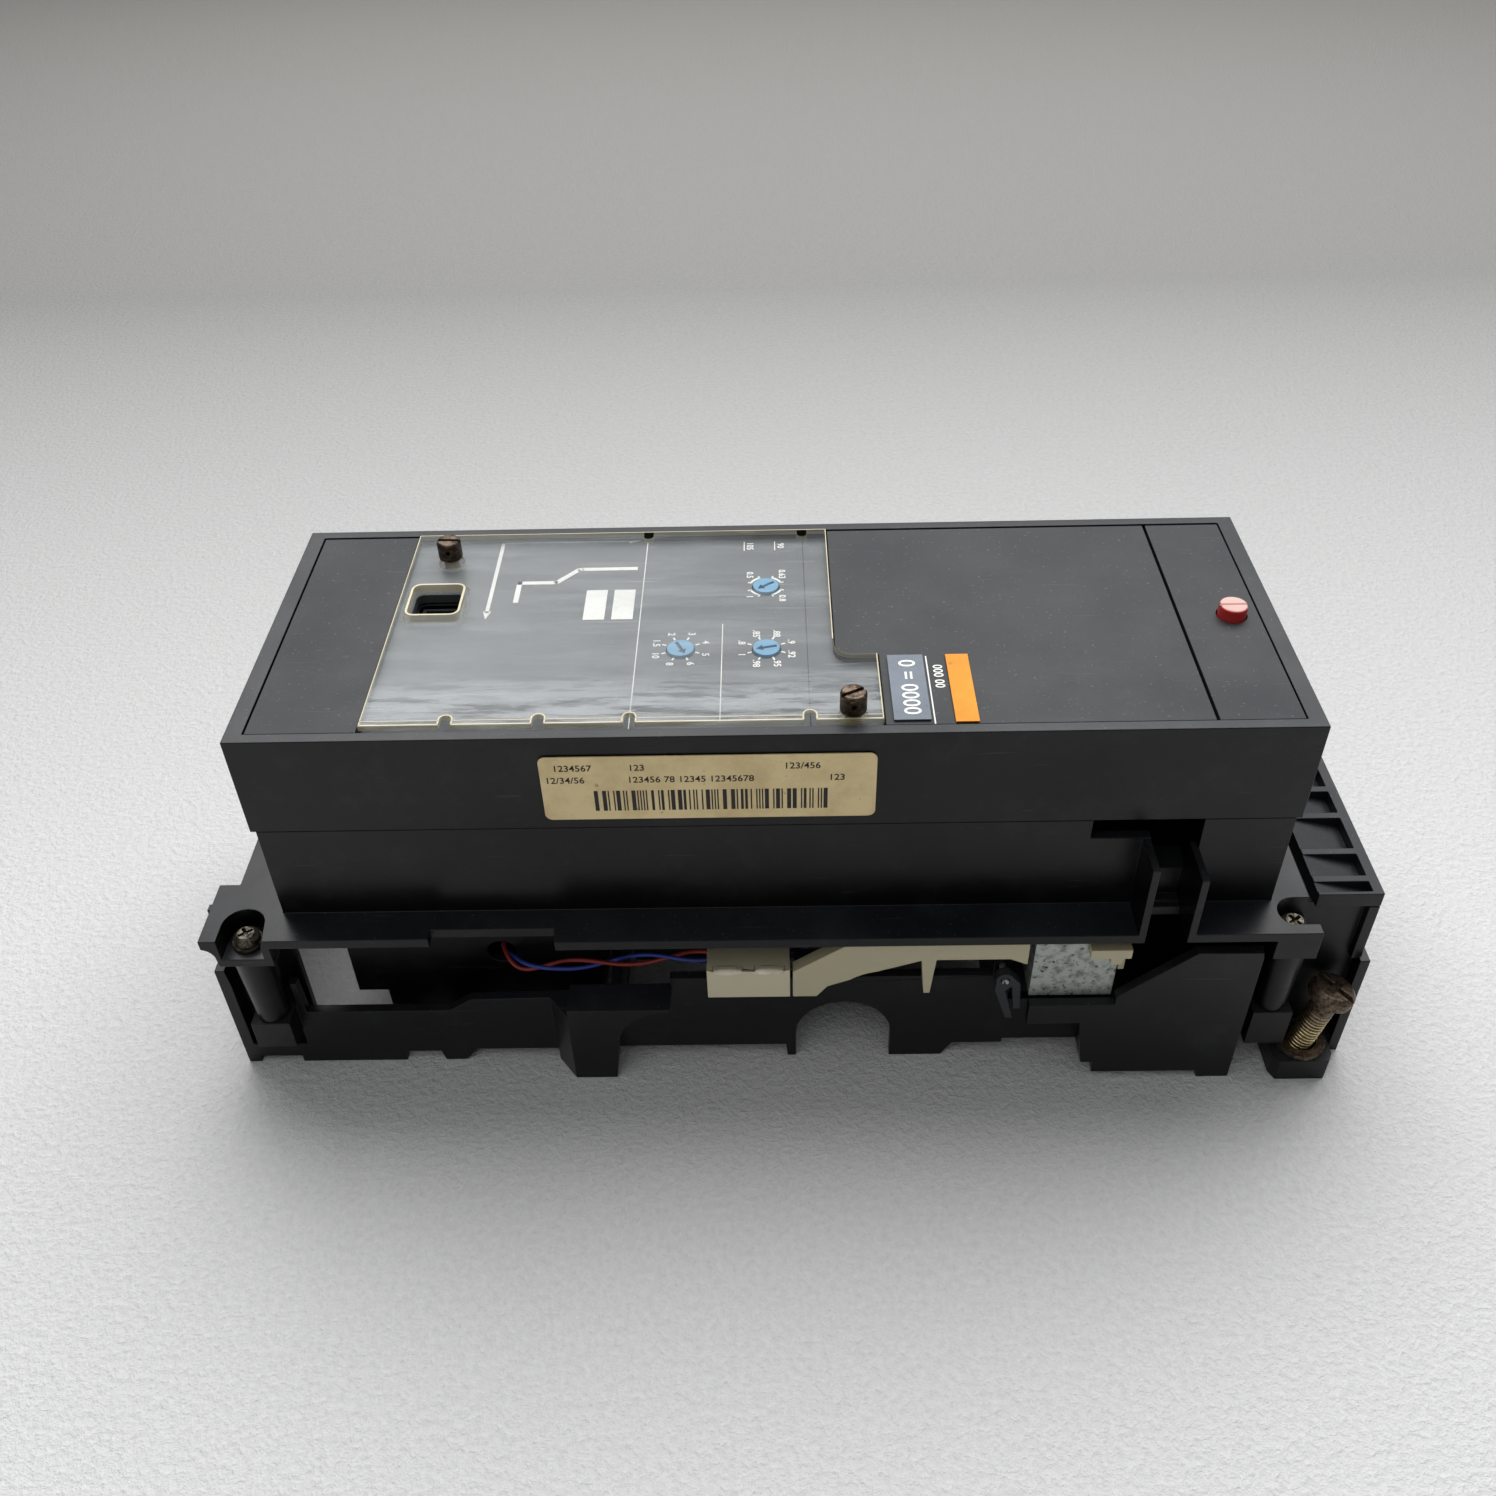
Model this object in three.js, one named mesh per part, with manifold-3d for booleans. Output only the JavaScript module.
// Electronic trip unit of an air circuit breaker, lying on its back with the setting face up.
// Millimetres, +Z up. While building, X runs along the cover from its left end, Y runs back
// from the cover's front face and Z is measured from the surface the unit lies on.
import * as THREE from 'three';
import { mergeVertices } from 'three/addons/utils/BufferGeometryUtils.js';
import Module from 'manifold-3d';

const wasm = await Module();
wasm.setup();

// ---------- driving dimensions ----------
const gap = 0.3;                 // between pieces that touch

const coverLength = 280;         // setting cover, along X
const coverDepth = 100;          // setting cover, along Y
const coverHeight = 31.9;
const coverWall = 3;
const rimEnd = 4.7;              // rim round the sunk face, at the two ends
const rimSide = 3.4;             // the same along front and back
const deckDrop = 5.9;            // from the rim down to the deck under the panels
const deckThickness = 2.5;
const seamHeight = 0.6;          // shadow groove round the cover's foot
const seamDepth = 1.4;

const housingHeight = 31.6;      // straight part of the housing above its flange
const housingInset = 1;          // housing stands this far inside the cover's sides
const housingWall = 3;
const flangeTop = 64.7;
const flangeThickness = 3.2;
const flangeFront = 11.6;        // how far the flange stands out in front of the cover

const panelTop = 0.3;            // panels lie this far below the rim
const panelSkin = 1.8;
const blankPanelEnd = 33.7;      // where the blank panel stops
const windowEnd = 157.2;         // right edge of the clear cover
const tabEnd = 168.8;            // right edge of the clear cover's corner tab
const tabDepth = 33.2;
const tabFillet = 5;
const endPanelWidth = 22.2;
const settingPanelThickness = 2.8;
const clearThickness = 1.7;
const clearLift = 1.6;           // air between the printed face and the clear cover
const clearFront = 5.2;          // the clear cover's front edge
const clearCollar = 1.1;         // collar round the test opening

const dialRadius = 3.7;
const dialShaftRadius = 2;
const dialSpots = {
  base_current: [138.9, 70.2],
  overload: [138.9, 40],
  short_circuit: [115.3, 40.3],
};
const switchSize = 10;
const switchHeight = 6;

const sealScrewSpots = { rear: [45.5, 84], front: [161, 9] };
const sealHeadRadius = 3.5;
const sealHeadHeight = 5.7;
const sealShankRadius = 2;

const socketWidth = 15;          // test socket opening in the clear cover
const socketDepth = 15.2;
const socketX = 44.5;
const socketY = 62.1;

const buttonRadius = 3.9;
const buttonProud = 3.5;
const buttonInset = 12.3;        // from the cover's right end to the button's axis
const buttonY = 49.4;
const buttonTravel = 3;
const springWire = 0.8;
const springRadius = 3.4;

const boardThickness = 1.6;
const boardDrop = 18.4;          // from the rim down to the board's top
const boardEdge = 9;             // from the cover's outside to the board's edge
const postRadius = 3.5;
const boardScrewRadius = 1.5;

const wellRadius = 6;            // recesses for the four housing screws
const wellFloor = 57.3;
const wellFloorThickness = 3;
const leftWellX = -9.3;
const rightWell = 5;              // past the cover's right end
const wellY = -3.4;
const bossTopRadius = 5.8;
const bossBottomRadius = 4.6;
const bossBottom = 27.4;
const screwRadius = 1.9;
const screwHeadRadius = 3.7;
const washerRadius = 4.25;

const baseLeft = -24;
const baseRight = 32;            // past the cover's right end
const baseFront = -1.2;
const baseBack = 1.2;            // past the cover's back face
const baseWall = 3;
const baseHeight = 42.5;

const ribThickness = 2.1;        // the two ribs of the front chute
const chuteLeft = 38.4;          // inner faces of the chute, from the cover's right end
const chuteRight = 26.9;
const leftRibTop = 89.5;
const rightRibTop = 85.5;

const blockLeft = 10.3;          // terminal block, from the cover's right end
const blockFront = 3.2;
const blockTop = 61.6;
const lidThickness = 5;
const bayDepth = 3.7;            // bays of the lid, at their deep end
const lidRail = 3;
const sideStep = 2;              // upper side wall stands this far inside the lower one
const ribOffsets = [5.5, 17.1, 32.1, 43];   // the lid's ribs, either way from its middle
const ribWidth = 2.4;

const wallTop = 36.8;            // front wall beside the arch
const archRadius = 14.3;
const archSpring = 11.2;
const legArc = 15;

const lugFront = -11.9;
const lugHeight = 8.6;
const mountScrewRadius = 3.9;
const mountHeadRadius = 6.6;
const mountHeadHeight = 4.3;
const mountScrewLength = 29.2;
const mountLean = 11.5;          // degrees
const mountWasherRadius = 7.4;
const mountWasherThickness = 1.6;
const mountHole = 5.2;

const leverFront = -8.6;
const leverThickness = 4;
const wireRadius = 0.7;
const wireTwist = 1.3;           // from the pair's middle line to each wire
const wireTurns = 5;

// ---------- levels and places worked out from them ----------
const back = coverDepth;
const right = coverLength;
const flangeBottom = flangeTop - flangeThickness;
const housingTop = flangeTop + housingHeight;
const coverBase = housingTop + gap;
const coverTop = coverBase + coverHeight;
const deckTop = coverTop - deckDrop;
const deckBottom = deckTop - deckThickness;
const boardTop = coverTop - boardDrop;
const boardBottom = boardTop - boardThickness;
const settingTop = deckTop + gap + settingPanelThickness;
const clearBase = settingTop + gap;
const clearUnder = settingTop + clearLift;
const clearTop = clearUnder + clearThickness;
const panelLevel = coverTop - panelTop;
const endPanelLeft = right - rimEnd + gap - endPanelWidth;
const buttonX = right - buttonInset;
const baseEnd = right + baseRight;
const baseRear = back + baseBack;
const blockX = right + blockLeft;
const wellXs = [leftWellX, right + rightWell];

// ---------- colours ----------
const finish = (color, roughness, metalness = 0) => () =>
  new THREE.MeshStandardMaterial({ color, roughness, metalness });
const blackPlastic = finish(0x1f2023, 0.45);
const slatePlastic = finish(0x2c2e31, 0.5);
const clearPlastic = () => new THREE.MeshStandardMaterial({
  color: 0xb9bcb8, roughness: 0.25, transparent: true, opacity: 0.5,
});
const creamPlastic = finish(0xd9d2bc, 0.45);
const bluePlastic = finish(0x3f94c4, 0.45);
const redPlastic = finish(0xc5342c, 0.4);
const greyPlastic = finish(0x55585c, 0.5);
const brownSteel = finish(0x55453a, 0.55, 0.8);
const brassSteel = finish(0x8d8067, 0.4, 0.9);
const zincSteel = finish(0xa7aaa5, 0.45, 0.85);
const springSteel = finish(0x9a9c9e, 0.3, 1);
const greenBoard = finish(0x1e4a2f, 0.5);
const agedPaper = finish(0xd8d0b4, 0.6);
const orangePaper = finish(0xe07b26, 0.55);
const greyPaper = finish(0x7d858f, 0.5);
const copperWinding = finish(0x9a5b33, 0.45, 0.6);
const redWire = finish(0x9e2a22, 0.5);
const blueWire = finish(0x3a4a9c, 0.5);

// ---------- building blocks ----------
function slab(x0, x1, y0, y1, z0, z1) {
  const box = new THREE.BoxGeometry(x1 - x0, y1 - y0, z1 - z0);
  return box.translate((x0 + x1) / 2, (y0 + y1) / 2, (z0 + z1) / 2);
}

function outline(points) {
  return new THREE.Shape(points.map(([u, v]) => new THREE.Vector2(u, v)));
}

function extruded(shape, length) {
  return new THREE.ExtrudeGeometry(shape, { depth: length, bevelEnabled: false, curveSegments: 10 });
}

// outline in X and Y, standing from z0 to z1
function upright(shape, z0, z1) {
  return extruded(shape, z1 - z0).translate(0, 0, z0);
}

// outline in X and Z, running from y0 back to y1
function facing(shape, y0, y1) {
  return extruded(shape, y1 - y0).rotateX(Math.PI / 2).translate(0, y1, 0);
}

// outline in Y and Z, running from x0 to x1
function sideways(shape, x0, x1) {
  const turn = new THREE.Matrix4().makeBasis(
    new THREE.Vector3(0, 1, 0), new THREE.Vector3(0, 0, 1), new THREE.Vector3(1, 0, 0));
  return extruded(shape, x1 - x0).applyMatrix4(turn).translate(x0, 0, 0);
}

// radius and height pairs, turned about a vertical axis through x, y
function turned(profile, x, y, segments = 24) {
  const points = profile.map(([r, z]) => new THREE.Vector2(r, z));
  return new THREE.LatheGeometry(points, segments).rotateX(Math.PI / 2).translate(x, y, 0);
}

function disc(x, y, radius, z0, z1, segments = 24) {
  return turned([[0, z0], [radius, z0], [radius, z1], [0, z1]], x, y, segments);
}

// a round bar along Y
function crossBar(x, z, radius, y0, y1, segments = 16) {
  return new THREE.CylinderGeometry(radius, radius, y1 - y0, segments)
    .translate(x, (y0 + y1) / 2, z);
}

function roundedBox(x0, x1, y0, y1, z0, z1, radius) {
  const shape = new THREE.Shape();
  shape.moveTo(x0 + radius, y0);
  shape.lineTo(x1 - radius, y0);
  shape.absarc(x1 - radius, y0 + radius, radius, -Math.PI / 2, 0);
  shape.lineTo(x1, y1 - radius);
  shape.absarc(x1 - radius, y1 - radius, radius, 0, Math.PI / 2);
  shape.lineTo(x0 + radius, y1);
  shape.absarc(x0 + radius, y1 - radius, radius, Math.PI / 2, Math.PI);
  shape.lineTo(x0, y0 + radius);
  shape.absarc(x0 + radius, y0 + radius, radius, Math.PI, Math.PI * 1.5);
  return new THREE.ExtrudeGeometry(shape, { depth: z1 - z0, bevelEnabled: false, curveSegments: 5 })
    .translate(0, 0, z0);
}

function arcPoints(cx, cy, radius, from, to, steps) {
  const points = [];
  for (let i = 0; i <= steps; i += 1) {
    const angle = THREE.MathUtils.degToRad(from + (to - from) * i / steps);
    points.push([cx + radius * Math.cos(angle), cy + radius * Math.sin(angle)]);
  }
  return points;
}

// ---------- solids ----------
function solid(geometry) {
  const bare = geometry.index ? geometry.toNonIndexed() : geometry.clone();
  bare.deleteAttribute('normal');
  bare.deleteAttribute('uv');
  const merged = mergeVertices(bare, 1e-4);
  return new wasm.Manifold(new wasm.Mesh({
    numProp: 3,
    vertProperties: new Float32Array(merged.attributes.position.array),
    triVerts: new Uint32Array(merged.index.array),
  }));
}

const joined = (...shapes) => shapes.map(solid).reduce((whole, part) => whole.add(part));
const cut = (whole, ...shapes) => shapes.reduce((rest, shape) => rest.subtract(solid(shape)), whole);

function surface(body) {
  const mesh = body.getMesh();
  const geometry = new THREE.BufferGeometry();
  geometry.setAttribute('position', new THREE.BufferAttribute(new Float32Array(mesh.vertProperties), 3));
  geometry.setIndex(new THREE.BufferAttribute(new Uint32Array(mesh.triVerts), 1));
  return geometry;
}

const unit = new THREE.Group();

function piece(name, shape, material) {
  const geometry = shape.isBufferGeometry ? shape : surface(shape);
  const mesh = new THREE.Mesh(geometry, material());
  mesh.name = name;
  unit.add(mesh);
  return mesh;
}

// ---------- setting cover ----------
const boardPosts = [
  [boardEdge + 7, boardEdge + 7],
  [right - boardEdge - 7, boardEdge + 7],
  [boardEdge + 7, back - boardEdge - 7],
  [right - boardEdge - 7, back - boardEdge - 7],
];

function frontCover() {
  const shell = cut(
    solid(slab(0, right, 0, back, coverBase, coverTop)),
    slab(rimEnd, right - rimEnd, rimSide, back - rimSide, deckTop, coverTop + 1),
    slab(coverWall, right - coverWall, coverWall, back - coverWall, coverBase - 1, deckBottom));
  const groove = cut(solid(slab(-1, right + 1, -1, back + 1, coverBase - 1, coverBase + seamHeight)),
    slab(seamDepth, right - seamDepth, seamDepth, back - seamDepth, coverBase - 2, coverTop));
  let cover = shell.subtract(groove);
  for (const [x, y] of boardPosts) {
    cover = cover.add(solid(disc(x, y, postRadius, boardTop + gap, deckBottom + 1, 16)));
  }
  for (const [x, y] of Object.values(sealScrewSpots)) {
    cover = cover.add(solid(disc(x, y, sealShankRadius + 2.4, deckBottom - 5, deckBottom + 1, 20)));
    cover = cut(cover, disc(x, y, sealShankRadius + gap, deckBottom - 6, deckTop + 1, 20));
  }
  for (const [x, y] of boardPosts) {
    cover = cut(cover, disc(x, y, boardScrewRadius + gap, boardTop, deckBottom - 0.5, 12));
  }
  for (const [x, y] of Object.values(dialSpots)) {
    cover = cut(cover, disc(x, y, dialShaftRadius + 0.5, deckBottom - 1, deckTop + 1, 16));
  }
  cover = cut(cover, disc(buttonX, buttonY, buttonRadius + gap, deckBottom - 1, deckTop + 1, 24));
  cover = cut(cover, testOpening(deckBottom - 1, deckTop + 1, 1.2));
  return cover;
}

function testOpening(z0, z1, shrink) {
  const halfWidth = socketWidth / 2 - shrink;
  const halfDepth = socketDepth / 2 - shrink;
  return roundedBox(socketX - halfWidth, socketX + halfWidth, socketY - halfDepth,
    socketY + halfDepth, z0, z1, 2.2);
}

// the printed face and its clear cover share this outline: a rectangle with a tab at the
// front right corner, where the second sealing screw sits
function windowOutline(front) {
  const x0 = blankPanelEnd + gap;
  const y1 = back - rimSide - gap;
  return outline([
    [x0, front], [tabEnd, front], [tabEnd, tabDepth],
    ...arcPoints(windowEnd + tabFillet, tabDepth + tabFillet, tabFillet, 270, 180, 6),
    [windowEnd, y1], [x0, y1],
  ]);
}

function tray(shape, innerShape, z0, z1) {
  return cut(solid(upright(shape, z0, z1)), upright(innerShape, z0 - 1, z1 - panelSkin));
}

function rectangle(x0, x1, y0, y1, inset = 0) {
  return outline([[x0 + inset, y0 + inset], [x1 - inset, y0 + inset],
    [x1 - inset, y1 - inset], [x0 + inset, y1 - inset]]);
}

const panelFront = rimSide + gap;
const panelBack = back - rimSide - gap;
const panelBase = deckTop + gap;
const skirt = 1.6;

function blankPanel() {
  const x0 = rimEnd + gap;
  return tray(rectangle(x0, blankPanelEnd, panelFront, panelBack),
    rectangle(x0, blankPanelEnd, panelFront, panelBack, skirt), panelBase, panelLevel);
}

function mainPanelOutline(inset) {
  const x0 = windowEnd + gap + inset;
  const tabX = tabEnd + gap + inset;
  const x1 = endPanelLeft - 0.8 - inset;
  const tabY = tabDepth + gap + inset;
  const fillet = tabFillet - gap - inset;
  return outline([
    [tabX, panelFront + inset], [x1, panelFront + inset], [x1, panelBack - inset],
    [x0, panelBack - inset],
    ...arcPoints(x0 + fillet, tabY + fillet, fillet, 180, 270, 6),
    [tabX, tabY],
  ]);
}

function mainPanel() {
  return tray(mainPanelOutline(0), mainPanelOutline(skirt), panelBase, panelLevel);
}

function endPanel() {
  const x1 = right - rimEnd - gap;
  const panel = tray(rectangle(endPanelLeft, x1, panelFront, panelBack),
    rectangle(endPanelLeft, x1, panelFront, panelBack, skirt), panelBase, panelLevel);
  return cut(panel, disc(buttonX, buttonY, buttonRadius + gap, panelBase - 1, panelLevel + 1, 24));
}

function settingPanel() {
  let panel = solid(upright(windowOutline(panelFront), panelBase, settingTop));
  for (const [x, y] of Object.values(dialSpots)) {
    panel = cut(panel, disc(x, y, dialRadius + gap, panelBase - 1, settingTop + 1, 24));
  }
  for (const [x, y] of Object.values(sealScrewSpots)) {
    panel = cut(panel, disc(x, y, sealShankRadius + gap, panelBase - 1, settingTop + 1, 20));
  }
  return cut(panel, testOpening(panelBase - 1, settingTop + 1, 0.6));
}

// finger notches along the clear cover's front and back edges
const frontNotches = [56.3, 80.2, 103.6, 149.9];
const backNotches = [103.7, 149.9];
const notchRadius = 1.5;
const notchDepth = 3.9;

function notch(x, edge, inwards) {
  const end = edge + inwards * (notchDepth - notchRadius);
  const outside = edge - inwards;
  const channel = slab(x - notchRadius, x + notchRadius, Math.min(outside, end),
    Math.max(outside, end), clearUnder - 1, clearTop + 1);
  return joined(channel, disc(x, end, notchRadius, clearUnder - 1, clearTop + 1, 16));
}

function clearCover() {
  let cover = solid(upright(windowOutline(clearFront), clearUnder, clearTop));
  for (const [x, y] of Object.values(sealScrewSpots)) {
    cover = cover.add(solid(disc(x, y, sealHeadRadius + 0.4, clearBase, clearTop - 0.5, 20)));
    cover = cut(cover, disc(x, y, sealShankRadius + gap, clearBase - 1, clearTop + 1, 20));
  }
  cover = cover.add(solid(testOpening(clearBase, clearTop - 0.5, -clearCollar)));
  cover = cut(cover, testOpening(clearBase - 1, clearTop + 1, 0));
  const notches = [...frontNotches.map((x) => notch(x, clearFront, 1)),
    ...backNotches.map((x) => notch(x, panelBack, -1))];
  return notches.reduce((rest, shape) => rest.subtract(shape), cover);
}

function sealScrew([x, y]) {
  const head = clearTop + gap;
  const top = head + sealHeadHeight;
  const foot = deckBottom - 7;
  const bevel = 0.5;
  const screw = solid(turned([[0, foot], [sealShankRadius - 0.5, foot], [sealShankRadius, foot + 1],
    [sealShankRadius, head], [sealHeadRadius, head], [sealHeadRadius, top - bevel],
    [sealHeadRadius - bevel, top], [0, top]], x, y, 24));
  const slot = slab(-0.5, 0.5, -sealHeadRadius - 1, sealHeadRadius + 1, top - 1.2, top + 1);
  slot.rotateZ(THREE.MathUtils.degToRad(y > back / 2 ? 88 : 118)).translate(x, y, 0);
  const sealHole = crossBar(0, head + 3, 0.7, -sealHeadRadius - 1, sealHeadRadius + 1, 10);
  sealHole.translate(x, y, 0);
  return cut(screw, slot, sealHole);
}

// ---------- dials, switches, board ----------
const dialTop = settingTop + 0.8;

function dial([x, y], turn) {
  const body = solid(turned([[0, boardTop + 2.2], [dialShaftRadius, boardTop + 2.2],
    [dialShaftRadius, deckTop + gap], [dialRadius, deckTop + gap], [dialRadius, dialTop], [0, dialTop]],
    x, y, 28));
  const arrow = outline([[-0.45, -2.9], [0.45, -2.9], [0.45, 1], [1.2, 1], [0, 2.9], [-1.2, 1],
    [-0.45, 1]]);
  const slot = upright(arrow, dialTop - 0.7, dialTop + 1);
  slot.rotateZ(THREE.MathUtils.degToRad(turn)).translate(x, y, 0);
  return cut(body, slot);
}

function rotarySwitch([x, y]) {
  const half = switchSize / 2;
  const base = boardTop + gap;
  return cut(solid(slab(x - half, x + half, y - half, y + half, base, base + switchHeight)),
    disc(x, y, dialShaftRadius + gap, boardTop + 1.9, base + switchHeight + 1, 16));
}

function controlBoard() {
  let board = solid(slab(boardEdge, right - boardEdge, boardEdge, back - boardEdge,
    boardBottom, boardTop));
  for (const [x, y] of boardPosts) {
    board = cut(board, disc(x, y, boardScrewRadius + gap, boardBottom - 1, boardTop + 1, 12));
  }
  return cut(board, disc(buttonX, buttonY, 2.4, boardBottom - 1, boardTop + 1, 20));
}

function boardScrew([x, y]) {
  const head = boardBottom - gap;
  return turned([[0, head - 2.2], [2.4, head - 2.2], [2.9, head - 1.4], [2.9, head],
    [boardScrewRadius, head], [boardScrewRadius, deckBottom - 1.2], [0, deckBottom - 1.2]], x, y, 16);
}

function testSocket() {
  const half = 5.6;
  const base = boardTop + gap;
  const top = deckBottom + 1.6;
  let socket = cut(solid(slab(socketX - half, socketX + half, socketY - half, socketY + half, base, top)),
    slab(socketX - half + 1, socketX + half - 1, socketY - half + 1, socketY + half - 1,
      base + 3, top + 1));
  for (const dx of [-2.6, 0, 2.6]) {
    for (const dy of [-2, 2]) {
      socket = socket.add(solid(slab(socketX + dx - 0.35, socketX + dx + 0.35,
        socketY + dy - 0.35, socketY + dy + 0.35, base + 2.5, top - 2)));
    }
  }
  return socket;
}

// ---------- reset button ----------
const collarRadius = 5;
const stemRadius = 1.9;

function resetButton() {
  const top = panelLevel + buttonProud;
  const collarTop = deckBottom - gap;
  const bevel = 0.4;
  const body = solid(turned([[0, boardBottom - 0.6], [stemRadius, boardBottom - 0.6],
    [stemRadius, collarTop - 1.4], [collarRadius, collarTop - 1.4], [collarRadius, collarTop],
    [buttonRadius, collarTop], [buttonRadius, top - bevel], [buttonRadius - bevel, top], [0, top]],
    buttonX, buttonY, 28));
  return cut(body, slab(buttonX - buttonRadius, buttonX + buttonRadius,
    buttonY - 0.25, buttonY + 0.25, top - 0.35, top + 1));
}

class Coil extends THREE.Curve {
  constructor(radius, height, turns) {
    super();
    this.radius = radius;
    this.height = height;
    this.turns = turns;
  }

  getPoint(t, target = new THREE.Vector3()) {
    const angle = t * this.turns * Math.PI * 2;
    return target.set(this.radius * Math.cos(angle), this.radius * Math.sin(angle), t * this.height);
  }
}

function ring(radius, sides) {
  return outline(arcPoints(0, 0, radius, 0, 360 * (sides - 1) / sides, sides - 1));
}

function resetSpring() {
  const base = boardTop + gap + springWire / 2;
  const top = deckBottom - gap - 1.4 - gap - springWire / 2;
  const turns = 4;
  return new THREE.ExtrudeGeometry(ring(springWire / 2, 6), {
    steps: turns * 12, extrudePath: new Coil(springRadius, top - base, turns), bevelEnabled: false,
  }).translate(buttonX, buttonY, base);
}

function resetSwitch() {
  const top = boardBottom - buttonTravel - 1.2;
  const body = slab(buttonX - 6, buttonX + 6, buttonY - 5, buttonY + 5, top - 6.5, top);
  const leg = (x) => slab(x - 1, x + 1, buttonY - 4, buttonY + 4, top - 1, boardBottom - gap);
  return joined(body, leg(buttonX - 5), leg(buttonX + 5));
}

// ---------- housing ----------
const flangeLeft = -20.3;
const flangeShoulder = 12.4;
const flangeNarrow = -14.3;
const flangeEnd = 10;            // past the cover's right end
const flangeCorner = 9.8;
const flangeStep = [44, 78.7];   // shallower stretch of the flange's front edge
const flangeStepFront = 6.3;

function halfFlange() {
  const [leftX, rightX] = wellXs;
  const end = right + flangeEnd;
  const slotLeft = right - chuteLeft;
  const slotRight = right - chuteRight;
  const [stepLeft, stepRight] = flangeStep;
  return [
    [flangeNarrow, back / 2], [flangeNarrow, flangeShoulder], [flangeLeft, flangeShoulder],
    [flangeLeft, -flangeCorner], [leftX - wellRadius, -flangeCorner],
    ...arcPoints(leftX, wellY, wellRadius, 180, 0, 10),
    [leftX + wellRadius + 0.8, -flangeCorner],
    [stepLeft, -flangeCorner], [stepLeft, -flangeStepFront], [stepRight, -flangeStepFront],
    [stepRight + 0.5, -flangeFront],
    [slotLeft, -flangeFront], [slotLeft, -1], [slotRight, -1], [slotRight, -flangeFront],
    [end, -flangeFront], [end, wellY - wellRadius + 1.4], [rightX, wellY - wellRadius + 1.4],
    ...arcPoints(rightX, wellY, wellRadius - 0.6, 235, 90, 9),
    [end, wellY + wellRadius - 0.6], [end, back / 2],
  ];
}

// the same flange seen along the back, without the chute and the front steps
function backFlange() {
  const [leftX, rightX] = wellXs;
  const end = right + flangeEnd;
  return [
    [end, back - wellY - wellRadius + 0.6],
    ...arcPoints(rightX, back - wellY, wellRadius - 0.6, 270, 125, 9),
    [rightX, back - wellY + wellRadius - 1.4], [end, back - wellY + wellRadius - 1.4],
    [end, back + flangeCorner], [leftX + wellRadius + 0.8, back + flangeCorner],
    ...arcPoints(leftX, back - wellY, wellRadius, 360, 180, 10),
    [leftX - wellRadius, back + flangeCorner], [flangeLeft, back + flangeCorner],
    [flangeLeft, back - flangeShoulder], [flangeNarrow, back - flangeShoulder],
  ];
}

// a shelf below each left recess carries the screw; its outer side curves up to the flange
function leftCup(sign) {
  const [x] = wellXs;
  const low = wellFloor - wellFloorThickness;
  const profile = outline([
    [flangeLeft, flangeBottom + 1], [flangeLeft, flangeBottom],
    ...arcPoints(flangeLeft - 0.6, flangeBottom - 4, 4, 80, 10, 5),
    [x - wellRadius - 1.4, low], [x + wellRadius + 2.4, low], [x + wellRadius + 2.4, flangeBottom + 1],
  ]);
  const [y0, y1] = [-flangeCorner, wellY + wellRadius + 1.4];
  return sign < 0 ? facing(profile, y0, y1) : facing(profile, back - y1, back - y0);
}

function leftPocket(sign) {
  const [x] = wellXs;
  const pocket = outline([
    ...arcPoints(x, wellY, wellRadius, 0, 180, 10),
    [x - wellRadius, -flangeCorner - 1], [x + wellRadius, -flangeCorner - 1]]);
  const shape = upright(pocket, wellFloor, flangeTop + 1);
  return sign < 0 ? shape : turnedRound(shape);
}

// the front-to-back mirror image of a shape
function turnedRound(geometry) {
  const flipped = geometry.index ? geometry.toNonIndexed() : geometry.clone();
  flipped.scale(1, -1, 1).translate(0, back, 0);
  const position = flipped.attributes.position;
  for (let i = 0; i < position.count; i += 3) {
    const a = new THREE.Vector3().fromBufferAttribute(position, i + 1);
    const b = new THREE.Vector3().fromBufferAttribute(position, i + 2);
    position.setXYZ(i + 1, b.x, b.y, b.z);
    position.setXYZ(i + 2, a.x, a.y, a.z);
  }
  return flipped;
}

function bothSides(geometry) {
  return [geometry, turnedRound(geometry)];
}

function rightCup() {
  const x = wellXs[1];
  const end = right + flangeEnd;
  const low = wellFloor - wellFloorThickness;
  return joined(slab(x - wellRadius - 1, end, -flangeFront, wellY + wellRadius + 1, low, flangeBottom + 1));
}

function rightPocket() {
  const x = wellXs[1];
  const end = right + flangeEnd;
  const r = wellRadius - 0.6;
  const pocket = outline([
    [end + 1, wellY - wellRadius + 1.4], [end + 1, wellY + r],
    ...arcPoints(x, wellY, r, 90, 235, 9), [x, wellY - wellRadius + 1.4]]);
  return upright(pocket, wellFloor, flangeTop + 1);
}

function boss(x, y) {
  const low = wellFloor - wellFloorThickness;
  return turned([[0, bossBottom], [bossBottomRadius, bossBottom], [bossTopRadius, low + 0.5],
    [0, low + 0.5]], x, y, 24);
}

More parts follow.
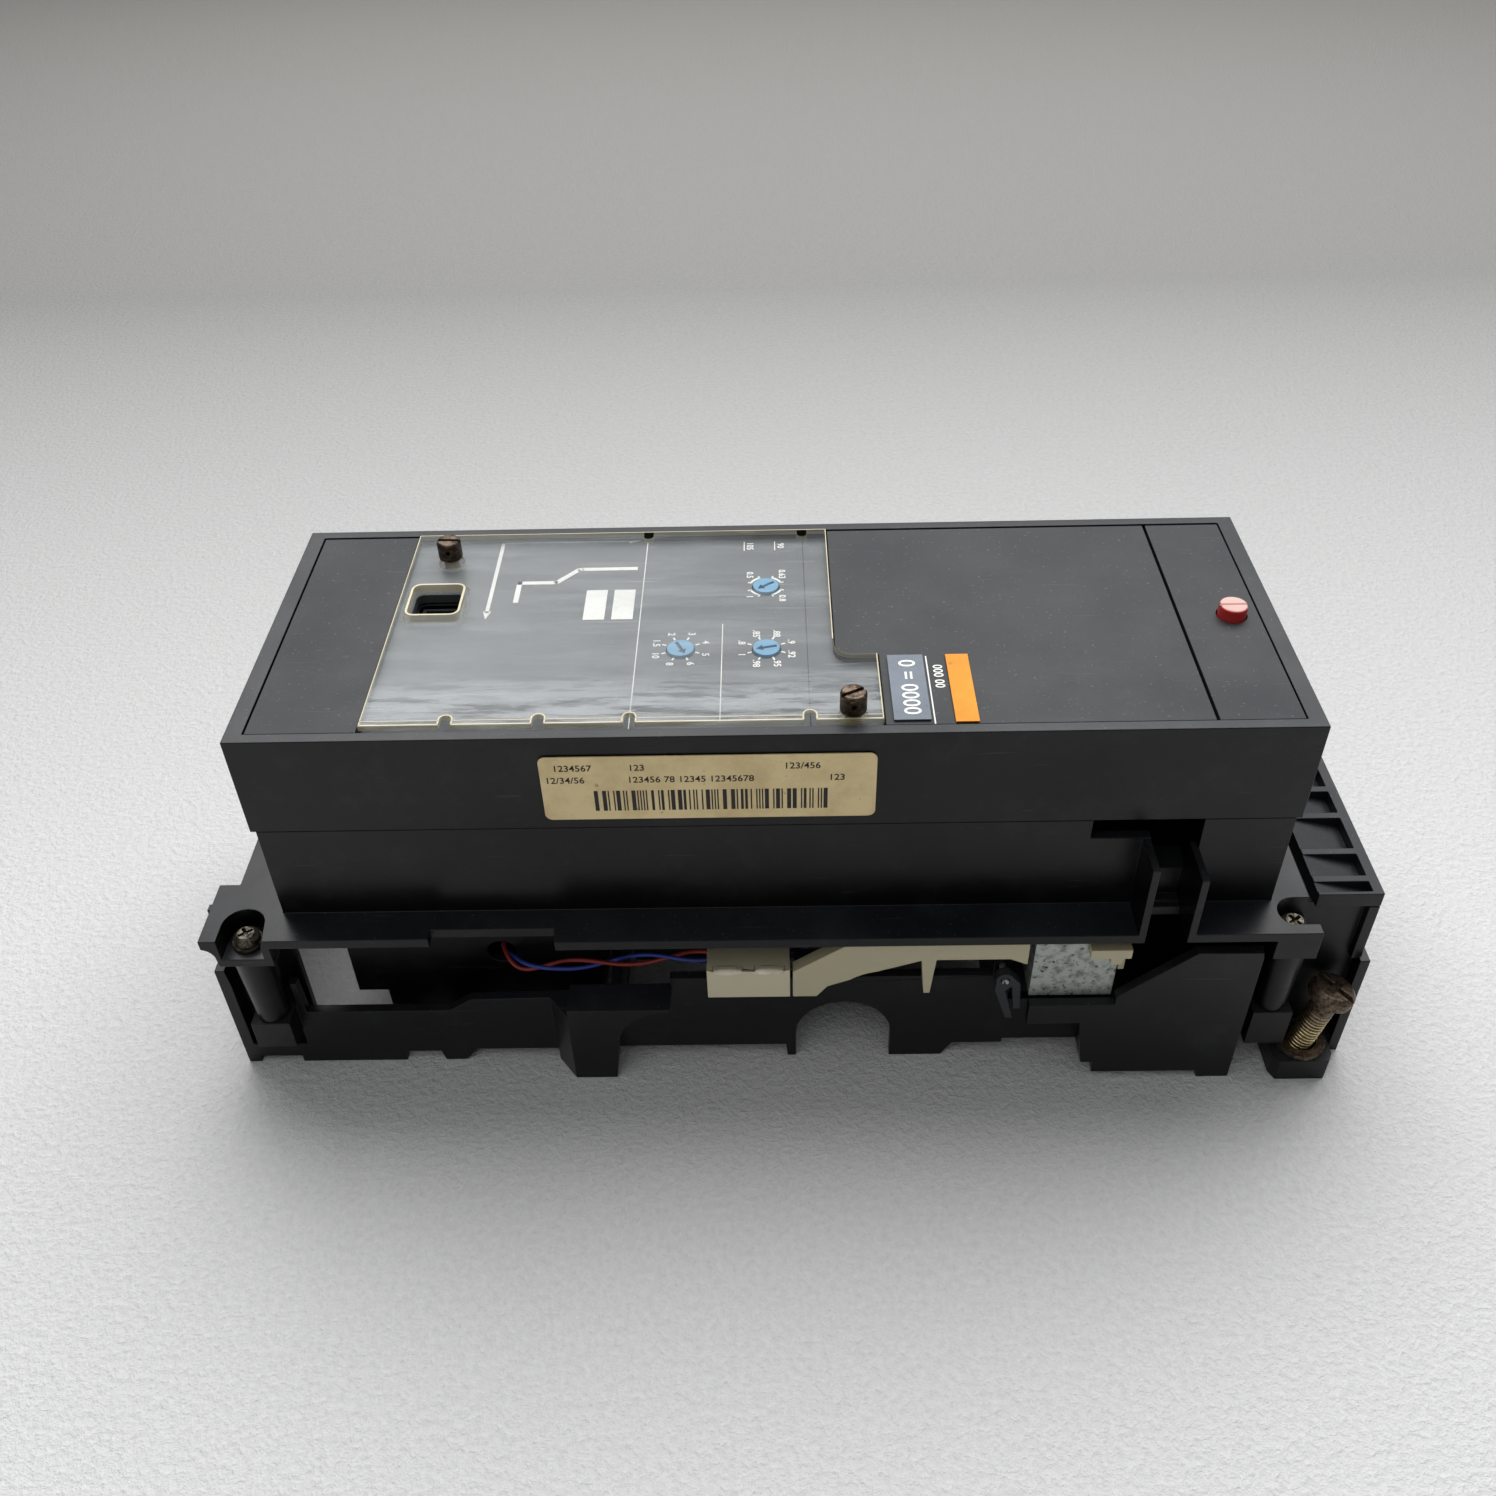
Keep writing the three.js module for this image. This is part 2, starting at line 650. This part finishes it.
function middleHousing() {
  const [leftX, rightX] = wellXs;
  const i = housingInset;
  const w = housingInset + housingWall;
  let body = joined(
    slab(i, right - i, i, back - i, flangeBottom, housingTop),
    upright(outline([...halfFlange(), ...backFlange()]), flangeBottom, flangeTop));
  body = cut(body, slab(w, right - w, w, back - w, flangeTop, housingTop + 1));
  for (const sign of [-1, 1]) {
    body = body.add(solid(leftCup(sign)));
    body = cut(body, leftPocket(sign));
  }
  const cup = rightCup();
  body = body.add(cup).add(cup.mirror([0, 1, 0]).translate([0, back, 0]));
  body = cut(body, ...bothSides(rightPocket()));
  for (const x of [leftX, rightX]) {
    for (const y of [wellY, back - wellY]) {
      body = body.add(solid(boss(x, y)));
      body = cut(body, disc(x, y, screwRadius + gap, bossBottom - 1, wellFloor + 1, 14));
    }
  }
  return chute(cableSlots(body));
}

// openings in the housing floor for the wires and the coil's leads, as left, right and back edge
const floorSlots = [[96, 112, 40], [right - 66, right - 52, 34]];
const floorSlotFront = 14;

function cableSlots(body) {
  const slots = floorSlots.map(([x0, x1, rear]) =>
    slab(x0, x1, floorSlotFront, rear, flangeBottom - 1, flangeTop + 1));
  return cut(body, ...slots);
}

// front opening between two ribs, with a ledge inside and a slot under the cover beside it
function chute(body) {
  const x0 = right - chuteLeft;
  const x1 = right - chuteRight;
  const i = housingInset;
  const wallBack = i + housingWall;
  let whole = body.add(joined(
    slab(x0 - ribThickness, x0, -flangeFront, i + 1, flangeBottom, leftRibTop),
    slab(x1, x1 + ribThickness, -flangeFront, i + 1, flangeBottom, rightRibTop)));
  whole = cut(whole,
    slab(x0, x1, -2, wallBack + 1, flangeTop + 0.6, housingTop + 1),
    slab(x0 - 16.2, x1 + 1.7, -2, wallBack + 1, leftRibTop + gap, housingTop + 1),
    slab(x1 - 1, x1 + 1.7, -2, wallBack + 1, rightRibTop, housingTop + 1));
  const ledge = outline([[wallBack + 8, 76], [wallBack, 75], [wallBack, flangeTop - 0.5],
    [wallBack + 8, flangeTop - 0.5]]);
  return whole.add(solid(sideways(ledge, x0 + 5, x1 + 1)));
}

function housingScrew(x, y) {
  const head = wellFloor + 1 + 2 * gap;
  const body = solid(turned([[0, bossBottom - 9], [screwRadius, bossBottom - 9], [screwRadius, head],
    [screwHeadRadius, head], [screwHeadRadius, head + 1.4], [screwHeadRadius - 1.3, head + 2.6],
    [0, head + 2.6]], x, y, 20));
  const arm = (a) => slab(-2.2, 2.2, -0.5, 0.5, head + 1.2, head + 4)
    .rotateZ(THREE.MathUtils.degToRad(a)).translate(x, y, 0);
  return cut(body, arm(35), arm(125));
}

function screwWasher(x, y) {
  const z = wellFloor + gap;
  const inner = screwRadius + gap;
  return turned([[inner, z], [washerRadius, z], [washerRadius, z + 1], [inner, z + 1], [inner, z]],
    x, y, 24);
}

// ---------- lower tray and power parts ----------
const trayLeft = 11.5;
const trayRight = 87;
const trayStep = 9;              // shallow left end of the tray
const trayStepBase = 19;
const trayBase = 12;
const trayEdge = 11;             // from the cover's front face to the tray's
const trayWall = 2.4;
const wireHole = [58, 36];       // where the wires leave the tray, X and Z
const wireHoleRadius = 4.4;

function lowerTray() {
  const y0 = trayEdge;
  const y1 = back - trayEdge;
  const top = flangeBottom - gap;
  const stepX = trayLeft + trayStep;
  const outer = joined(slab(trayLeft, trayRight, y0, y1, trayStepBase, top),
    slab(stepX, trayRight, y0, y1, trayBase, trayStepBase + 1));
  return cut(outer,
    slab(trayLeft + trayWall, trayRight - trayWall, y0 + trayWall, y1 - trayWall,
      trayStepBase + trayWall, top + 1),
    slab(stepX + trayWall, trayRight - trayWall, y0 + trayWall, y1 - trayWall,
      trayBase + trayWall, top + 1),
    crossBar(...wireHole, wireHoleRadius, y0 - 1, y0 + trayWall + 1, 20));
}

const plugLeft = 96;
const plugRight = right - 78;
const plugFront = 24;
const plugBase = 27;
const plugCount = 6;
const plugWidth = 8;

function plugBlock() {
  const y1 = back - trayEdge;
  const top = flangeBottom - gap;
  const endMargin = 7;
  const pitch = (plugRight - plugLeft - 2 * endMargin) / (plugCount - 1);
  let block = joined(slab(plugLeft, plugRight, plugFront, y1, plugBase, top),
    slab(plugLeft, plugRight, plugFront, plugFront + trayWall, 16.5, plugBase + 1));
  for (let i = 0; i < plugCount; i += 1) {
    const x = plugLeft + endMargin + i * pitch;
    block = cut(block, slab(x - plugWidth / 2, x + plugWidth / 2, plugFront + 12, y1 - 12,
      plugBase - 1, plugBase + 18));
  }
  return block;
}

const powerLevel = flangeTop + 7;
const powerTop = powerLevel + boardThickness + gap;
const coreBox = [24, 62, 28, 72];            // transformer core: left, right, front, back
const windingBox = [30, 56, 24, 76];
const coreHeight = 19;
const windingRise = 3;
const capacitorRadius = 8;
const capacitorHeight = 18;
const capacitorXs = [82, 104];

function powerBoard() {
  return slab(12, right - 70, boardEdge, back - boardEdge, powerLevel, powerLevel + boardThickness);
}

function transformer() {
  return joined(slab(...coreBox, powerTop, powerTop + coreHeight),
    slab(...windingBox, powerTop + windingRise, powerTop + coreHeight - windingRise));
}

function capacitor(x) {
  return disc(x, back / 2, capacitorRadius, powerTop, powerTop + capacitorHeight, 24);
}

// ---------- base frame ----------
function leftFrontWall() {
  const end = right - 71.2;
  const archX = right - 119.7;
  return outline([
    [baseLeft, 0], [-20, 0], [-20, 2.7], [-7, 2.7], [-7, 0], [25.5, 0], [25.5, 4.3], [36.5, 4.3],
    [37.5, 0], [44, 0], [48, 5], [76, 5], [76, 5.7], [archX - archRadius - 3, 5.7],
    [archX - archRadius - 2.6, 0.4], [archX - archRadius, 0.4],
    ...arcPoints(archX, archSpring, archRadius, 180, 0, 12),
    [archX + archRadius, 0], [right - 89.5, 0], [right - 86.3, 5.6], [end, 5.6],
    [end, wallTop], [109, wallTop], [109, 29], [76, 29], [49, 28.4], [42, 23.5], [-0.8, 23.5],
    [-1.4, 36.5], [-4, 36.5], [-4, 8.5], [-20.5, 8.5], [-20.5, 36.5], [-21, baseHeight],
    [baseLeft, baseHeight],
  ]);
}

// the strong leg stands forward of the wall, with a quarter arch beside it
function forwardLeg() {
  const front = -8.6;
  const face = outline([[78.8, 0], [91.3, 0], [93.1, 15.5],
    ...arcPoints(93.1 + legArc, 15.5, legArc, 175, 90, 8), [109.4, 31.5], [78.8, 31.5]]);
  const inner = outline([[81.8, -1], [88.6, -1], [90.4, 14],
    ...arcPoints(93.1 + legArc, 15.5, legArc + 2.6, 176, 136, 5), [81.8, 27.7]]);
  const facet = outline([[73, baseFront], [78.8, front], [82, front], [77, 1.8], [73, 1.8]]);
  const shell = cut(solid(facing(face, front, baseFront + baseWall)),
    facing(inner, front + baseWall, baseFront + baseWall + 1));
  return shell.add(solid(upright(facet, 0, 29)));
}

const heavyFront = -10.6;

function rightFrontWall() {
  const x = (d) => right + d;
  return outline([
    [x(-67), 26], [x(-51.5), 26], [x(-49), 7.5], [x(-45.4), 7.5], [x(-45.2), 2.9], [x(-13.3), 2.9],
    [x(-13.3), 0], [x(-3.7), 0], [x(-3.7), 55.7], [x(-22.1), 55.9], [x(-42.5), 37.6],
    [x(-42.5), 34.2], [x(-67), 34.2],
  ]);
}

function screwPost(x, sign) {
  const y0 = wellY - 5;
  const depth = 14;
  const low = x > 0 ? 13 : 16.5;
  const post = slab(x - 5.8, x + 5.8, y0, y0 + depth, low, bossBottom - gap);
  return sign < 0 ? post : turnedRound(post);
}

// walls inside the frame, front to back and side to side
const innerWall = 2.5;

function innerWalls() {
  const y0 = baseFront;
  const y1 = baseRear;
  const top = flangeBottom - gap;
  const bossBack = 5.6;
  const bossEnd = leftWellX + wellRadius + 1.8;
  const bayFront = 12;
  return [
    slab(baseLeft + 1, bossEnd, bossBack, bossBack + innerWall, 2.7, top),
    slab(90.5, 93, y0, y1, 6, 28),
    slab(90.5, 93, trayEdge + 3, back - trayEdge, 27, top),
    slab(right - 74.2, right - 71.2, y0, y1, 5.6, wallTop),
    slab(right - 71.3, right - 4, bayFront, bayFront + innerWall, 7.5, top),
    slab(right - 6.4, right - 3.7, heavyFront, y1, 2.9, 52),
    slab(right - 49, right - 46, heavyFront, y1, 7.5, 26),
  ];
}

function terminalBox() {
  const outer = slab(blockX, baseEnd - sideStep, blockFront, baseRear, 6, blockTop);
  const inner = slab(blockX + baseWall, baseEnd - sideStep - baseWall, blockFront + baseWall,
    baseRear - baseWall, 5, blockTop + 1);
  return cut(solid(outer), inner);
}

function lug(sign) {
  const x0 = right + 8.6;
  const x1 = right + 25.6;
  const shape = outline([[x0, lugFront + 3], [x0 + 1.5, lugFront], [x1 - 1, lugFront], [x1 + 0.6, lugFront + 3],
    [x1 + 0.6, blockFront + 2], [x0, blockFront + 2]]);
  const body = upright(shape, 0, lugHeight);
  return sign < 0 ? body : turnedRound(body);
}

const mountX = right + 16.6;
const mountY = -4.5;

function baseFrame() {
  const y0 = baseFront;
  const y1 = baseRear;
  const low = 2.7;
  let base = solid(facing(leftFrontWall(), y0, y0 + baseWall));
  base = base.add(forwardLeg());
  base = base.add(solid(facing(rightFrontWall(), heavyFront, heavyFront + baseWall)));
  base = base.add(joined(
    slab(baseLeft, baseLeft + baseWall, y0, y1, low - 0.7, baseHeight),
    slab(baseLeft, baseEnd, y1 - baseWall, y1, low, baseHeight),
    slab(right - 71.3, right - 4, y0, y0 + baseWall, 7.5, 26),
    slab(right - 4, blockX + baseWall, blockFront, blockFront + baseWall, 9, 40),
    slab(baseEnd - baseWall, baseEnd, y0, y1, 0, 41),
    slab(baseEnd - sideStep - baseWall, baseEnd - sideStep, y0 + 2, y1, 40, blockTop),
    slab(leverPinX - 3.4, leverPinX + 3.4, y0, y0 + baseWall, wallTop - 1, leverPinZ + 4),
    slab(togglePinX - 2.6, right - 71.2, y0, y0 + baseWall, wallTop - 1, togglePinZ + 3.4),
    ...innerWalls()));
  base = base.add(terminalBox());
  for (const sign of [-1, 1]) {
    base = base.add(solid(lug(sign)));
    for (const x of wellXs) {
      base = base.add(solid(screwPost(x, sign)));
    }
  }
  for (const x of wellXs) {
    for (const y of [wellY, back - wellY]) {
      base = cut(base, disc(x, y, screwRadius + gap, bossBottom - 10, bossBottom + 1, 14));
    }
  }
  const hole = disc(mountX, mountY, mountHole, -1, lugHeight + 1, 20);
  base = cut(base, ...bothSides(hole));
  // room for the housing bosses, the lever pin and the link bay
  for (const x of wellXs) {
    for (const y of [wellY, back - wellY]) {
      base = cut(base, disc(x, y, bossTopRadius + 0.6, bossBottom - gap, flangeBottom, 20));
    }
  }
  const wellCut = slab(-17.2, leftWellX + wellRadius + 2.8, wellY - 8, wellY + wellRadius + 1.8,
    wellFloor - wellFloorThickness - gap, flangeTop);
  const rightCut = slab(right - 4, right + flangeEnd + gap, wellY - 10, wellY + wellRadius + 1.4,
    wellFloor - wellFloorThickness - gap, flangeTop + 1);
  base = cut(base, ...bothSides(wellCut), ...bothSides(rightCut));
  base = cut(base, slab(right - 3.9, right + flangeEnd + gap, y0 - 1, y1 + 12,
    flangeBottom - gap, flangeTop + gap));
  return cut(base, crossBar(leverPinX, leverPinZ, pinRadius + gap, leverPinBase, 6, 14),
    crossBar(togglePinX, togglePinZ, togglePinRadius + gap, -3, 3, 14));
}

// ribbed lid of the terminal block: bays sink towards the outer rail
function terminalCover() {
  const x0 = blockX + 1.4;
  const x1 = baseEnd - sideStep;
  const z0 = blockTop + gap;
  const top = z0 + lidThickness;
  const y0 = baseFront + 2;
  const y1 = baseRear;
  const middle = back / 2;
  const ribs = [...ribOffsets.map((d) => middle - d), ...ribOffsets.map((d) => middle + d)];
  const walls = [y0, ...ribs.sort((p, q) => p - q), y1];
  const bay = outline([[x0 - 1, top + 0.001], [x1 - lidRail, top - bayDepth], [x1 - lidRail, top + 1],
    [x0 - 1, top + 1]]);
  let cover = solid(slab(x0, x1, y0, y1, z0, top));
  for (let i = 1; i < walls.length; i += 1) {
    const from = walls[i - 1] + ribWidth / 2;
    const to = walls[i] - ribWidth / 2;
    cover = cut(cover, facing(bay, from, to));
  }
  return cover;
}

// ---------- trip linkage ----------
const pinRadius = 1.5;
const togglePinRadius = 1;
const leverPinX = 149;
const leverPinZ = 42;
const leverPinBase = leverFront + 1;
const leverLeft = 145;
const leverEnd = right - 68.8;
const togglePinX = right - 74;
const togglePinZ = 40.8;
const toggleFront = -6.8;

function leverOutline() {
  const prong = right - 97.5;
  const [low, shoulder, top] = [37.1, 47.8, 60.5];
  return outline([
    [leverLeft, low], [151.9, low], [154.9, 41.4], ...arcPoints(172, 30.4, 17.4, 128, 100, 4),
    [prong - 1.2, 51.9], [prong, 38], [prong + 1.8, 38], [prong + 3, 52.1],
    [leverEnd - 5, 52.1], [leverEnd, 49.7], [leverEnd, top], [161.5, top], [159.5, 58.3],
    [leverLeft, shoulder],
  ]);
}

function tripLever() {
  return cut(solid(facing(leverOutline(), leverFront, leverFront + leverThickness)),
    crossBar(leverPinX, leverPinZ, pinRadius + gap, leverPinBase, leverFront + leverThickness + 1, 14));
}

function leverPin() {
  return crossBar(leverPinX, leverPinZ, pinRadius, leverPinBase + gap, 1.8, 14);
}

// holds the pair of wires in a channel open to the back
const clipLeft = 120.5;
const clipRight = 144.2;
const clipTop = 48.7;

const beadLength = 9.4;
const beadRadius = 1.1;

// long bead along the clip's top front edge
function bead(x) {
  const end = beadRadius / 2;
  const profile = [[0, 0], [end, 0.5], [beadRadius, 3], [beadRadius, beadLength - 3],
    [end, beadLength - 0.5], [0, beadLength]].map(([r, u]) => new THREE.Vector2(r, u));
  return new THREE.LatheGeometry(profile, 14).rotateZ(-Math.PI / 2)
    .translate(x, leverFront + 0.9, clipTop - 0.5);
}

function connectorHousing() {
  const base = wallTop + gap;
  const body = solid(slab(clipLeft, clipRight, leverFront, 5, base, clipTop));
  const hollow = cut(body, slab(clipLeft - 1, clipRight + 1, -3, 6, base + 1.6, clipTop - 1.2));
  return hollow.add(solid(bead(clipLeft + 1.3))).add(solid(bead(clipLeft + 13.2)));
}

const yokeLeft = right - 66.8;
const yokeRight = right - 43;
const yokeFront = -7;
const plungerZ = 47;
const plungerY = 1.5;
const plungerRadius = 3;
const coilRadius = 6.6;

function alongX(radius, x0, x1, segments) {
  return new THREE.CylinderGeometry(radius, radius, x1 - x0, segments)
    .rotateZ(Math.PI / 2).translate((x0 + x1) / 2, plungerY, plungerZ);
}

function releaseYoke() {
  const base = 34.5;
  const top = 58.3;
  const wall = 2.5;
  const yokeBack = 10;
  return cut(solid(slab(yokeLeft, yokeRight, yokeFront, yokeBack, base, top)),
    slab(yokeLeft + wall, yokeRight - wall, yokeFront + 1.6, yokeBack + 1, base + wall, top - wall),
    alongX(plungerRadius + gap, yokeRight - wall - 1, yokeRight + 1, 20));
}

function releaseCoil() {
  const x0 = yokeLeft + 2.5 + gap;
  const x1 = yokeRight - 2.5 - gap;
  const flange = 1.2;
  const body = joined(alongX(coilRadius, x0, x1, 24), alongX(coilRadius + 0.1, x0, x0 + flange, 24),
    alongX(coilRadius + 0.1, x1 - flange, x1, 24));
  return cut(body, alongX(plungerRadius + gap, x0 + 4, x1 + 1, 20));
}

// the plate at the plunger's end carries a tab that reaches back over the yoke's front
function releasePlunger() {
  const plateLeft = yokeRight + gap + 0.4;
  const plateRight = plateLeft + 1.8;
  const plateTop = 57;
  const tabBase = 53.7;
  const front = yokeFront - gap - 3;
  const behind = yokeFront - gap;
  const rod = alongX(plungerRadius, yokeLeft + 8, plateLeft + 1, 20);
  const plate = slab(plateLeft, plateRight, yokeFront + 1.2, plungerY + 5, plungerZ - 2.8, plateTop);
  const neck = slab(plateLeft, plateRight, front, yokeFront + 2, tabBase, plateTop);
  const tab = slab(yokeRight - 9, plateRight, front, behind, tabBase, plateTop + 0.2);
  const foot = slab(yokeRight - 3.2, yokeRight + 0.2, front, behind, tabBase - 2.5, tabBase + 1);
  return joined(rod, plate, neck, tab, foot);
}

function resetToggle() {
  const hub = [togglePinX, togglePinZ];
  const [x, z] = hub;
  const arms = outline([
    [x - 2.2, z + 1], [x - 2.7, z - 4], [x + 1.4, z - 16.6], [x + 3.6, z - 16.6],
    [x + 0.5, z - 4.4], [x + 2.2, z - 2.6], [x + 3.4, z - 12.5], [x + 5.6, z - 12.2],
    [x + 4.6, z - 1.6], [x + 1.4, z + 2.2]]);
  const body = joined(facing(arms, toggleFront, toggleFront + 3),
    crossBar(x, z, 2.6, toggleFront, toggleFront + 3, 16));
  return cut(body, crossBar(x, z, togglePinRadius + gap, toggleFront - 1, toggleFront + 4, 12));
}

function togglePin() {
  return crossBar(togglePinX, togglePinZ, togglePinRadius, toggleFront - 0.6, 1.5, 12);
}

// the two wires lie twisted round a common route, from the tray through the clip to the coil
const [holeX, holeZ] = wireHole;
const wireRoute = [
  [holeX - 0.5, trayEdge + 5, holeZ], [holeX + 1, trayEdge + 0.5, holeZ],
  [holeX + 7, trayEdge - 5.4, holeZ - 0.4], [holeX + 20, 5.2, holeZ + 0.4],
  [holeX + 34, 5, holeZ + 1.6], [holeX + 48, 4.4, holeZ + 4],
  [clipLeft - 2, 2.8, wallTop + 5.6], [clipLeft + 11.5, 2.4, wallTop + 6],
  [clipRight - 3.2, 4, wallTop + 6], [clipRight + 4.8, 6.6, wallTop + 6.2],
  [clipRight + 15.8, 8, 45], [clipRight + 29.8, 9, 49], [yokeLeft - 25.2, 8.6, 51],
  [yokeLeft - 13.2, 7, 51.5], [yokeLeft - 2.4, 4, 51],
];

class WireRun extends THREE.Curve {
  constructor(phase) {
    super();
    this.phase = phase;
    this.route = new THREE.CatmullRomCurve3(wireRoute.map((p) => new THREE.Vector3(...p)));
  }

  getPoint(t, target = new THREE.Vector3()) {
    const angle = this.phase + t * wireTurns * Math.PI * 2;
    target.copy(this.route.getPoint(t));
    target.y += wireTwist * Math.cos(angle);
    target.z += wireTwist * Math.sin(angle);
    return target;
  }
}

function wire(phase) {
  return new THREE.ExtrudeGeometry(ring(wireRadius, 8), {
    steps: 72, extrudePath: new WireRun(phase), bevelEnabled: false,
  });
}

// ---------- labels ----------
function ratingLabel() {
  const label = roundedBox(80, 166.9, 100.85, 122.5, 0, gap, 2);
  return label.rotateX(Math.PI / 2).translate(0, -gap, 0);
}

function faceLabel(x0, x1, y0, y1) {
  return slab(x0, x1, y0, y1, panelLevel + gap, panelLevel + 2 * gap);
}

// ---------- mounting screw ----------
function mountingScrew() {
  const low = -3.4;
  const neck = low + mountScrewLength;
  const top = neck + mountHeadHeight;
  const bevel = 1.2;
  const recess = 1.8;
  const body = solid(turned([[0, low], [mountScrewRadius - 0.8, low], [mountScrewRadius, low + 0.8],
    [mountScrewRadius, neck], [mountHeadRadius, neck], [mountHeadRadius, top - bevel],
    [mountHeadRadius - bevel, top], [0, top]], 0, 0, 28));
  const arm = (half, reach, turn) => slab(-half, half, -reach, reach, top - recess, top + 1)
    .rotateZ(THREE.MathUtils.degToRad(turn));
  return surface(cut(body, arm(0.9, mountHeadRadius + 1, 40), arm(1, 3.2, 130))).rotateY(THREE.MathUtils.degToRad(mountLean))
    .translate(mountX, mountY, lugHeight / 2);
}

function mountingWasher() {
  const z = lugHeight + gap;
  const inner = mountScrewRadius + 0.9;
  const x = mountX + (z - lugHeight / 2) * Math.tan(THREE.MathUtils.degToRad(mountLean));
  return turned([[inner, z], [mountWasherRadius, z], [mountWasherRadius, z + mountWasherThickness],
    [inner, z + mountWasherThickness], [inner, z]], x, mountY, 28);
}

// ---------- assembly ----------
piece('front_cover', frontCover(), blackPlastic);
piece('blank_panel', blankPanel(), slatePlastic);
piece('main_panel', mainPanel(), slatePlastic);
piece('end_panel', endPanel(), slatePlastic);
piece('setting_panel', settingPanel(), slatePlastic);
piece('clear_cover', clearCover(), clearPlastic);
piece('rear_seal_screw', sealScrew(sealScrewSpots.rear), brownSteel);
piece('front_seal_screw', sealScrew(sealScrewSpots.front), brownSteel);

const dialTurns = { base_current: 126, overload: 102, short_circuit: 205 };
for (const [name, spot] of Object.entries(dialSpots)) {
  piece(`${name}_dial`, dial(spot, dialTurns[name]), bluePlastic);
  piece(`${name}_switch`, rotarySwitch(spot), greyPlastic);
}
piece('control_board', controlBoard(), greenBoard);
boardPosts.forEach((spot, i) => piece(`board_screw_${i + 1}`, boardScrew(spot), zincSteel));
piece('test_socket', testSocket(), greyPlastic);

piece('reset_button', resetButton(), redPlastic);
piece('reset_spring', resetSpring(), springSteel);
piece('reset_switch', resetSwitch(), greyPlastic);

piece('middle_housing', middleHousing(), blackPlastic);
piece('power_board', powerBoard(), greenBoard);
piece('supply_transformer', transformer(), copperWinding);
capacitorXs.forEach((x, i) => piece(`smoothing_capacitor_${i + 1}`, capacitor(x), greyPlastic));
piece('lower_tray', lowerTray(), blackPlastic);
piece('plug_block', plugBlock(), blackPlastic);

const corners = [
  ['front_left', wellXs[0], wellY], ['front_right', wellXs[1], wellY],
  ['back_left', wellXs[0], back - wellY], ['back_right', wellXs[1], back - wellY],
];
for (const [corner, x, y] of corners) {
  piece(`housing_screw_${corner}`, housingScrew(x, y), brassSteel);
  piece(`housing_washer_${corner}`, screwWasher(x, y), brassSteel);
}

piece('base_frame', baseFrame(), blackPlastic);
piece('terminal_cover', terminalCover(), slatePlastic);
piece('mounting_screw', mountingScrew(), brassSteel);
piece('mounting_washer', mountingWasher(), brassSteel);

piece('trip_lever', tripLever(), creamPlastic);
piece('lever_pin', leverPin(), zincSteel);
piece('wire_clip', connectorHousing(), creamPlastic);
piece('release_yoke', releaseYoke(), zincSteel);
piece('release_coil', releaseCoil(), copperWinding);
piece('release_plunger', releasePlunger(), creamPlastic);
piece('reset_toggle', resetToggle(), greyPlastic);
piece('toggle_pin', togglePin(), zincSteel);
piece('red_wire', wire(0), redWire);
piece('blue_wire', wire(Math.PI), blueWire);

piece('data_label', ratingLabel(), agedPaper);
piece('current_label', faceLabel(tabEnd + 2.4, tabEnd + 11.9, 5, 32.4), greyPaper);
piece('accent_label', faceLabel(tabEnd + 18, tabEnd + 24, 4, 32.4), orangePaper);

// the finished unit stands on z = 0, centred under its own outline
const rearmost = back - lugFront;
unit.position.set(-(baseLeft + baseEnd) / 2, -(lugFront + rearmost) / 2, 0);

const assembly = new THREE.Group();
assembly.add(unit);
export default assembly;
